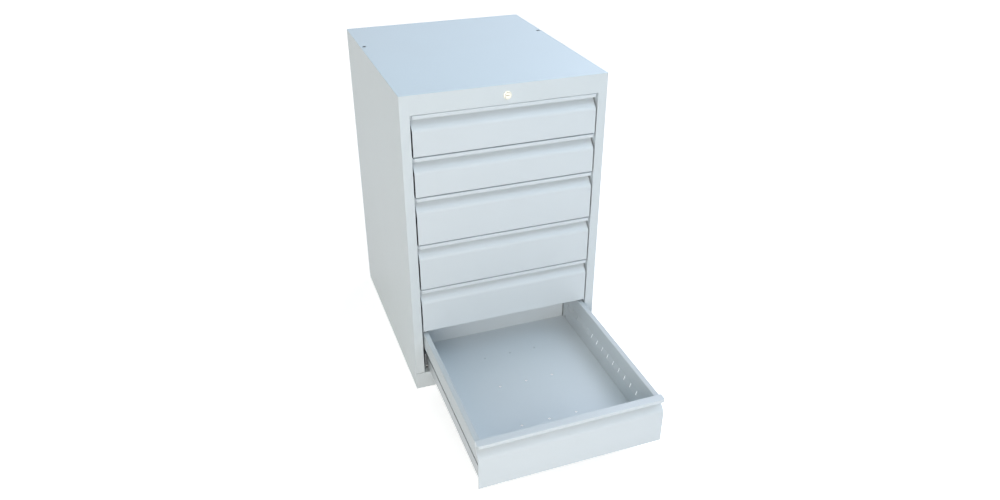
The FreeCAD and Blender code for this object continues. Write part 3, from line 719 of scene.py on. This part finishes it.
class DRAWERUNIT_OT_drawer_trays(bpy.types.Operator):
    """Folds the drawer floors with their back and front walls, and fits the lock's catches"""

    bl_idname = "drawer_unit.drawer_trays"
    bl_label = "Drawer trays"

    def execute(self, context):
        for drawer in drawers():
            self.fold_tray(sizes(), drawer)
            self.fold_catch(drawer)
        return {"FINISHED"}

    def fold_tray(self, size, drawer):
        front_wall_drop = 0.010
        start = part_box(drawer.body + "_pan")[0].y + size.sheet
        end = drawer.wall_rear - size.sheet
        floor, gap = drawer.level + FLOOR_RISE, size.corner_gap
        section = [
            (start, drawer.head - front_wall_drop, 0), (start, floor, size.pan_bend),
            (end, floor, size.pan_bend), (end, drawer.rim - 2 * size.sheet, 0)]
        shape = bmesh.new()
        rows = folded(
            shape, section, lambda u, v: (-WALL, u, v),
            [ALONG["X"] * gap, ALONG["X"] * 2 * (WALL - gap), ALONG["X"] * gap], ALONG["Z"])
        remove(shape, [face for face in rows[0] + rows[2]
                       if middle(face).y > end - size.pan_bend and middle(face).z > floor + HAIR])
        bed = max(rows[1], key=lambda face: face.calc_area() * face.normal.z)
        holes = [(across, drawer.front + behind, floor)
                 for behind in HOLES_BEHIND for across in HOLES_ACROSS]
        punched(shape, bed, holes, size.floor_hole, steps=24)
        finish_piece(drawer.body + "_tray", shape, drawer.body, [drawer.body + "_pan"],
                     "tray_coat_painted_light", sheet=size.sheet, edge=size.edge)

    def fold_catch(self, drawer):
        sheet, bend, half = 0.002, 0.001, 0.010
        tab, hook = 0.014, 0.009
        plate, tip = drawer.level + 0.060 + sheet, drawer.wall_rear + 0.0195 - sheet
        root = drawer.wall_rear + sheet
        section = [(root, plate - sheet + tab, 0), (root, plate, bend), (tip, plate, bend),
                   (tip, plate + hook, 0)]
        shape = bmesh.new()
        folded(shape, section, lambda u, v: (-half, u, v), [ALONG["X"] * 2 * half], ALONG["Z"])
        finish_piece(drawer.body + "_lock_catch", shape, drawer.body, [drawer.body + "_pan"],
                     "zinc_plate", sheet=sheet, edge=0.0003)


class DRAWERUNIT_OT_corner_rivets(bpy.types.Operator):
    """Sets the rivets that hold the side walls at the drawers' back corners"""

    bl_idname = "drawer_unit.corner_rivets"
    bl_label = "Corner rivets"

    def execute(self, context):
        radius, rise = 0.004, 0.002
        from_rear, above_floor = 0.016, 0.006
        for drawer in drawers():
            shape = bmesh.new()
            level = drawer.level + FLOOR_RISE + above_floor
            for side in (LEFT, RIGHT):
                place = Matrix.Translation((side * WALL, drawer.wall_rear - from_rear, level))
                dome = facing(-side * ALONG["X"]) @ Matrix.Diagonal((1, 1, rise / radius, 1))
                bmesh.ops.create_uvsphere(
                    shape, u_segments=20, v_segments=10, radius=radius, matrix=place @ dome)
            finish_piece(drawer.body + "_rivets", shape, drawer.body, [drawer.body + "_pan"],
                         "zinc_plate", sharp=80.0)
        return {"FINISHED"}


class DRAWERUNIT_OT_drawer_sides(bpy.types.Operator):
    """Rolls the drawers' side walls: slotted step, rim and skirt"""

    bl_idname = "drawer_unit.drawer_sides"
    bl_label = "Drawer side walls"

    def execute(self, context):
        for drawer in drawers():
            for side in (LEFT, RIGHT):
                self.roll_side(sizes(), drawer, side)
        return {"FINISHED"}

    def roll_side(self, size, drawer, side):
        name = "%s_%s_side" % (drawer.body, HAND[side])
        low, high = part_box(name)
        slot_low, slot_high = STEP_LOW + SLOT_MARGIN, STEP_HIGH - SLOT_MARGIN
        rise = (UPPER_WALL - WALL) / (STEP_HIGH - STEP_LOW)
        rim = drawer.rim - drawer.level

        def slope(level):
            return WALL + (level - STEP_LOW) * rise

        section = [
            (WALL, low.z - drawer.level, 0), (WALL, STEP_LOW, size.step_bend),
            (slope(slot_low), slot_low, 0), (slope(slot_high), slot_high, 0),
            (UPPER_WALL, STEP_HIGH, size.step_bend), (UPPER_WALL, rim, size.rim_bend),
            (RIM_OUTER, rim, size.rim_bend), (RIM_OUTER, SKIRT_LOW, 0)]
        stops = [low.y]
        for number in range(SLOTS):
            slot = drawer.front + FIRST_SLOT + size.slot_pitch * number
            stops.extend([slot, slot + size.slot_width])
        stops.append(high.y)
        clear = size.front_sheet + WALL_GAP
        start = drawer.front + clear
        moves = [ALONG["Y"] * (stop - before) for before, stop in zip([start] + stops, stops)]
        shape = bmesh.new()
        rows = folded(shape, section, lambda u, v: (side * u, start, drawer.level + v), moves,
                      ALONG["Z"])
        remove(shape, [
            face for row in rows[2::2] for face in row
            if slot_low < middle(face).z - drawer.level < slot_high
            and abs(middle(face).x) < UPPER_WALL])
        ahead = [*rows[0], *{edge for face in rows[0] for edge in face.edges},
                 *{vert for face in rows[0] for vert in face.verts if vert.co.y < low.y - HAIR}]
        bend = drawer.head - size.grip_throat - size.grip_depth
        cut_off(shape, ahead, (0, drawer.front + DIAGONAL * clear, bend), (0, -1, 1))
        finish_piece(name + "_sheet", shape, drawer.body, [name], "drawer_coat",
                     sheet=size.sheet, edge=size.edge)


# Slides

class DRAWERUNIT_OT_slides(bpy.types.Operator):
    """Rolls the slides' rails, and fits the ball cages, their balls and the stops"""

    bl_idname = "drawer_unit.slides"
    bl_label = "Slides"

    def execute(self, context):
        size = sizes()
        for drawer in drawers():
            for side in (LEFT, RIGHT):
                self.roll_rail(size, drawer, side)
            self.fit_cages(size, drawer)
        for side in (LEFT, RIGHT):
            self.roll_fixed_rails(size, side)
        self.fit_stops()
        return {"FINISHED"}

    def roll_rail(self, size, drawer, side):
        name = "%s_%s_rail" % (drawer.body, HAND[side])
        low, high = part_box(name)
        lip, lip_bend, face_bend = 0.006, 0.0012, 0.0018

        def track(level, inwards):
            half, depth, bend = 0.0016, 0.0007, 0.0004
            floor = level + inwards * depth
            return [(TRACK - half, level, bend), (TRACK - half + depth, floor, bend),
                    (TRACK + half - depth, floor, bend), (TRACK + half, level, bend)]

        section = [
            (RAIL_INNER, low.z + lip, 0), (RAIL_INNER, low.z, lip_bend), *track(low.z, 1),
            (RAIL_FACE, low.z, face_bend), (RAIL_FACE, high.z, face_bend), *track(high.z, -1)[::-1],
            (RAIL_INNER, high.z, lip_bend), (RAIL_INNER, high.z - lip, 0)]
        shape = bmesh.new()
        folded(shape, section, lambda u, v: (side * u, low.y, v), [ALONG["Y"] * (high.y - low.y)],
               side * ALONG["X"], steps=4)
        finish_piece(name + "_channel", shape, drawer.body, [name],
                     "zinc_plate", sheet=size.rail_sheet, edge=size.edge)

    def fit_cages(self, size, drawer):
        node = drawer.body + "_ball_cages"
        low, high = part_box(node)
        inner, outer, bend, half = 0.209, high.x, 0.0012, 0.0003
        balls_in_row, first_ball, ball_pitch = 5, 0.013, 0.011
        upper = drawer.level + RAIL_HIGH + BALL_RISE
        lower = drawer.level + RAIL_LOW - BALL_RISE
        section = [(inner, upper + half, 0), (outer, upper + half, bend),
                   (outer, lower - half, bend), (inner, lower - half, 0)]
        strips, balls = bmesh.new(), bmesh.new()
        for side in (LEFT, RIGHT):
            folded(strips, section, lambda u, v: (side * u, low.y, v),
                   [ALONG["Y"] * (high.y - low.y)], side * ALONG["X"], steps=4)
            for level in (upper, lower):
                for number in range(balls_in_row):
                    behind = low.y + first_ball + ball_pitch * number
                    bmesh.ops.create_uvsphere(
                        balls, u_segments=16, v_segments=10, radius=size.ball,
                        matrix=Matrix.Translation((side * TRACK, behind, level)))
        finish_piece(drawer.body + "_cage_strips", strips, drawer.cages, [node],
                     "bright_steel", sheet=0.0006, edge=0.0001)
        finish_piece(drawer.body + "_balls", balls, drawer.cages, [node],
                     "bright_steel", sharp=80.0)

    def roll_fixed_rails(self, size, side):
        name = HAND[side] + "_cabinet_rails"
        inner, outer, bend, length = 0.2085, 0.2202, 0.0022, 0.550
        crown, lug_bend, lug_half, lug_height = 0.225, 0.002, 0.015, 0.022
        shape = bmesh.new()
        for drawer in drawers():
            low, high = drawer.level + FIXED_RAIL_LOW, drawer.level + FIXED_RAIL_HIGH
            section = [(inner, low, 0), (outer, low, bend), (outer, high, bend), (inner, high, 0)]
            folded(shape, section, lambda u, v: (side * u, FIXED_RAIL_FRONT, v),
                   [ALONG["Y"] * length], side * ALONG["X"], steps=5)
            base = (low + high) / 2 - lug_height / 2
            for lug in (CABINET_FRONT + 0.046, CABINET_FRONT + 0.530):
                plan = [(outer, lug - lug_half, 0), (crown, lug - lug_half, lug_bend),
                        (crown, lug + lug_half, lug_bend), (outer, lug + lug_half, 0)]
                folded(shape, plan, lambda u, v: (side * u, v, base), [ALONG["Z"] * lug_height],
                       side * ALONG["X"], steps=4)
        finish_piece(name + "_channels", shape, "cabinet", [name], "zinc_plate",
                     sheet=size.fixed_rail_sheet, edge=size.edge)

    def fit_stops(self):
        for name, material, low, high in RAIL_ENDS:
            shape = bmesh.new()
            for drawer in drawers():
                for side in (LEFT, RIGHT):
                    ends = sorted((side * low[0], side * high[0]))
                    rounded_box(
                        shape, (ends[0], FIXED_RAIL_FRONT + low[1], drawer.level + low[2]),
                        (ends[1], FIXED_RAIL_FRONT + high[1], drawer.level + high[2]),
                        radius=0.0004, steps=3)
            finish_piece(name, shape, "cabinet", ["rail_bumpers"], material,
                         sharp=60.0)


# Lock

class DRAWERUNIT_OT_lock(bpy.types.Operator):
    """Turns the lock's bezel and its plug with the key slot"""

    bl_idname = "drawer_unit.lock"
    bl_label = "Lock"

    def execute(self, context):
        self.turn_bezel(CABINET_FRONT, CABINET_FRONT + 0.022)
        self.make_plug(CABINET_FRONT - 0.0036, CABINET_FRONT + 0.023)
        return {"FINISHED"}

    def turn_bezel(self, front, rear):
        """Spins a closed profile round the lock's axis: each of its points is (radius, y)"""
        bore, face, rim, stem = 0.0066, front - 0.003, 0.0100, 0.0089
        profile = [
            (bore, rear), (bore, front - 0.0022), (0.0074, face), (0.0088, face),
            (0.0096, front - 0.0024), (rim, front - 0.0012), (rim, front), (stem, front),
            (stem, rear)]
        shape = bmesh.new()
        verts = [shape.verts.new((radius, y, LOCK_LEVEL)) for radius, y in profile]
        edges = [shape.edges.new(pair) for pair in zip(verts, verts[1:] + verts[:1])]
        bmesh.ops.spin(
            shape, geom=verts + edges, cent=(0, 0, LOCK_LEVEL), axis=(0, 1, 0), angle=2 * math.pi,
            steps=64, use_merge=True, use_duplicate=False)
        bmesh.ops.recalc_face_normals(shape, faces=shape.faces)
        finish_piece("lock_bezel", shape, "cabinet", ["lock_housing"], "satin_nickel",
                     edge=0.0002, sharp=40.0)

    def make_plug(self, face, end):
        """Makes the plug: a round face with a sunk key slot, a wall and an end"""
        radius, slot_length, slot_width, slot_depth = 0.0064, 0.008, 0.0018, 0.006
        shape = bmesh.new()
        front = Vector((0, -1, 0))
        place = Matrix.Translation((0, face, LOCK_LEVEL)) @ facing(front)
        ring = bmesh.ops.create_circle(
            shape, cap_ends=False, segments=64, radius=radius, matrix=place)["verts"]
        rim = list({edge for vert in ring for edge in vert.link_edges})
        slot = bmesh.ops.create_grid(
            shape, x_segments=1, y_segments=1, size=0.5,
            matrix=place @ Matrix.Diagonal((slot_length, slot_width, 1, 1)))["verts"]
        keyway = slot[0].link_faces[0]
        border = list(keyway.edges)
        sunk = bmesh.ops.extrude_face_region(shape, geom=[keyway])["geom"]
        bmesh.ops.translate(shape, verts=only(bmesh.types.BMVert, sunk), vec=(0, slot_depth, 0))
        if keyway.is_valid:
            bmesh.ops.delete(shape, geom=[keyway], context="FACES_ONLY")
        bmesh.ops.triangle_fill(
            shape, use_beauty=True, use_dissolve=False, edges=rim + border, normal=front)
        drawn = bmesh.ops.extrude_edge_only(shape, edges=rim)["geom"]
        bmesh.ops.translate(shape, verts=only(bmesh.types.BMVert, drawn), vec=(0, end - face, 0))
        loose = [edge for edge in shape.edges if edge.is_boundary]
        bmesh.ops.contextual_create(shape, geom=loose)
        bmesh.ops.recalc_face_normals(shape, faces=shape.faces)
        finish_piece("lock_plug_face", shape, "lock_cylinder", ["lock_plug"],
                     "satin_nickel", edge=0.0003, sharp=40.0)


# Finishes of the pieces and of the CAD nodes that stay

class DRAWERUNIT_OT_finishes(bpy.types.Operator):
    """Mixes the finishes and gives each CAD node its own"""

    bl_idname = "drawer_unit.finishes"
    bl_label = "Finishes"

    def execute(self, context):
        colours = context.scene.drawer_unit_colours
        powder_coat("cabinet_coat", colours.cabinet)
        powder_coat("front_coat", colours.front)
        # Painted light: the top's finish carries the bluish light from above in its colour
        powder_coat("top_coat_painted_skylight", colours.top)
        # Painted shade: a darker copy of the drawers' paint for the side walls
        powder_coat("drawer_coat", colours.drawer, roughness=0.45)
        # Painted light: a lighter, bluer copy of the drawers' paint for the floors and back walls
        powder_coat("tray_coat_painted_light", colours.tray, roughness=0.45)
        zinc_plate("zinc_plate", colours.zinc)
        bright_steel("bright_steel", colours.bright)
        moulded_nylon("moulded_nylon", colours.nylon)
        # Painted shadow: the near-black finish of the blocks under the rail stops
        painted_shadow_black("painted_shadow_black", colours.shadow_black)
        satin_nickel("satin_nickel", colours.nickel)
        slots = {
            "cabinet_paint": "cabinet_coat", "front_paint": "front_coat",
            "top_paint": "top_coat_painted_skylight", "drawer_paint": "drawer_coat",
            "galvanised_steel": "zinc_plate", "cage_steel": "bright_steel",
            "bumper_plastic": "moulded_nylon", "lock_metal": "satin_nickel"}
        for row in frame["record"]["subparts"]:
            node = frame["nodes"][row["node"]]
            node.data.materials.clear()
            node.data.materials.append(finishes[slots[row["material_slot"]]])
        return {"FINISHED"}


# Studio

class DRAWERUNIT_OT_stage(bpy.types.Operator):
    """Lays the floor and sets the lamps, the world and the camera"""

    bl_idname = "drawer_unit.stage"
    bl_label = "Studio"

    def execute(self, context):
        self.lay_floor(context)
        self.set_world(context)
        for lamp in LAMPS:
            self.add_lamp(*lamp)
        self.set_camera(context)
        context.scene.view_settings.view_transform = "Standard"
        return {"FINISHED"}

    def seen(self, finish):
        """1 where the camera, a reflection or a view through glass looks, and 0 for light"""
        path = finish.node("ShaderNodeLightPath")
        rays = [Value(finish, path.outputs[name])
                for name in ("Is Camera Ray", "Is Glossy Ray", "Is Transmission Ray")]
        return rays[0] | rays[1] | rays[2]

    def lay_floor(self, context):
        """Lays a pale floor that takes the object's shadow and fades to white further away"""
        near_glow, fade = 0.55, 0.25
        shape = bmesh.new()
        bmesh.ops.create_grid(shape, x_segments=1, y_segments=1, size=30.0)
        mesh = bpy.data.meshes.new("studio_floor")
        shape.to_mesh(mesh)
        shape.free()
        floor = bpy.data.objects.new("studio_floor", mesh)
        context.scene.collection.objects.link(floor)
        finish = new_finish("studio_floor")
        paper = finish.node("ShaderNodeBsdfDiffuse", {}, {
            "Color": (*context.scene.drawer_unit_colours.floor, 1.0)})
        place = finish.node("ShaderNodeTexCoord").outputs["Object"]
        away = finish.node("ShaderNodeVectorMath", {"operation": "LENGTH"}, {
            0: place}).outputs["Value"]
        far = finish.node("ShaderNodeMath", {"operation": "MULTIPLY", "use_clamp": True}, {
            0: away, 1: fade})
        glow = finish.node("ShaderNodeEmission", {}, {
            "Strength": self.seen(finish) * (
                near_glow + (1 - near_glow) * Value(finish, far.outputs[0]))})
        both = finish.node("ShaderNodeAddShader", {}, {0: paper.outputs[0], 1: glow.outputs[0]})
        finish.surface(both)
        mesh.materials.append(finishes["studio_floor"])

    def set_world(self, context):
        """Lights a little from all round, behind a background that is seen as white"""
        ambient = 0.12
        world = bpy.data.worlds.new("studio")
        context.scene.world = world
        world.use_nodes = True
        finish = Finish(world.node_tree)
        sky = finish.node("ShaderNodeBackground", {}, {
            "Color": (1.0, 1.0, 1.0, 1.0),
            "Strength": ambient + self.seen(finish) * (1 - ambient)})
        finish.node("ShaderNodeOutputWorld", {}, {"Surface": sky.outputs[0]})

    def add_lamp(self, name, place, target, size, power, tint):
        data = bpy.data.lights.new(name, "AREA")
        data.shape = "SQUARE"
        data.size = size
        data.energy = power
        data.color = tint
        lamp = bpy.data.objects.new(name, data)
        lamp.location = place
        lamp.rotation_euler = (Vector(target) - Vector(place)).to_track_quat("-Z", "Y").to_euler()
        bpy.context.scene.collection.objects.link(lamp)

    def set_camera(self, context):
        """Sets the camera by its own right, up and back directions"""
        data = bpy.data.cameras.new("studio_camera")
        data.sensor_width = 36.0
        data.lens = 28.455
        camera = bpy.data.objects.new("studio_camera", data)
        right = Vector((0.940253, -0.340476, 0.000399))
        up = Vector((0.169419, 0.468881, 0.866861))
        back = Vector((-0.295332, -0.815001, 0.498550))
        turn = Matrix((right, up, back)).transposed().to_4x4()
        place = Matrix.Translation((-0.5985, -1.9024, 1.3572))
        camera.matrix_world = place @ turn
        context.scene.collection.objects.link(camera)
        context.scene.camera = camera


STEPS = (
    DRAWERUNIT_OT_finishes,
    DRAWERUNIT_OT_side_panels,
    DRAWERUNIT_OT_top,
    DRAWERUNIT_OT_back_and_bottom,
    DRAWERUNIT_OT_fascia,
    DRAWERUNIT_OT_plinth,
    DRAWERUNIT_OT_drawer_fronts,
    DRAWERUNIT_OT_drawer_trays,
    DRAWERUNIT_OT_corner_rivets,
    DRAWERUNIT_OT_drawer_sides,
    DRAWERUNIT_OT_slides,
    DRAWERUNIT_OT_lock,
    DRAWERUNIT_OT_stage,
)


class DRAWERUNIT_PT_panel(bpy.types.Panel):
    """Lists the steps that build the drawer unit, and its sizes and colours"""

    bl_idname = "DRAWERUNIT_PT_panel"
    bl_label = "Drawer unit"
    bl_space_type = "VIEW_3D"
    bl_region_type = "UI"
    bl_category = "Drawer unit"

    def draw(self, context):
        column = self.layout.column(align=True)
        for step in STEPS:
            column.operator(step.bl_idname)
        for group in (context.scene.drawer_unit_sizes, context.scene.drawer_unit_colours):
            box = self.layout.box()
            for name in group.__annotations__:
                box.prop(group, name)


CLASSES = (DrawerUnitSizes, DrawerUnitColours, *STEPS, DRAWERUNIT_PT_panel)


def register():
    for item in CLASSES:
        bpy.utils.register_class(item)
    bpy.types.Scene.drawer_unit_sizes = bpy.props.PointerProperty(type=DrawerUnitSizes)
    bpy.types.Scene.drawer_unit_colours = bpy.props.PointerProperty(type=DrawerUnitColours)


def unregister():
    del bpy.types.Scene.drawer_unit_sizes
    del bpy.types.Scene.drawer_unit_colours
    for item in reversed(CLASSES):
        bpy.utils.unregister_class(item)


def main():
    register()
    for step in STEPS:
        group, name = step.bl_idname.split(".")
        getattr(getattr(bpy.ops, group), name)()


if __name__ == "__main__":
    main()
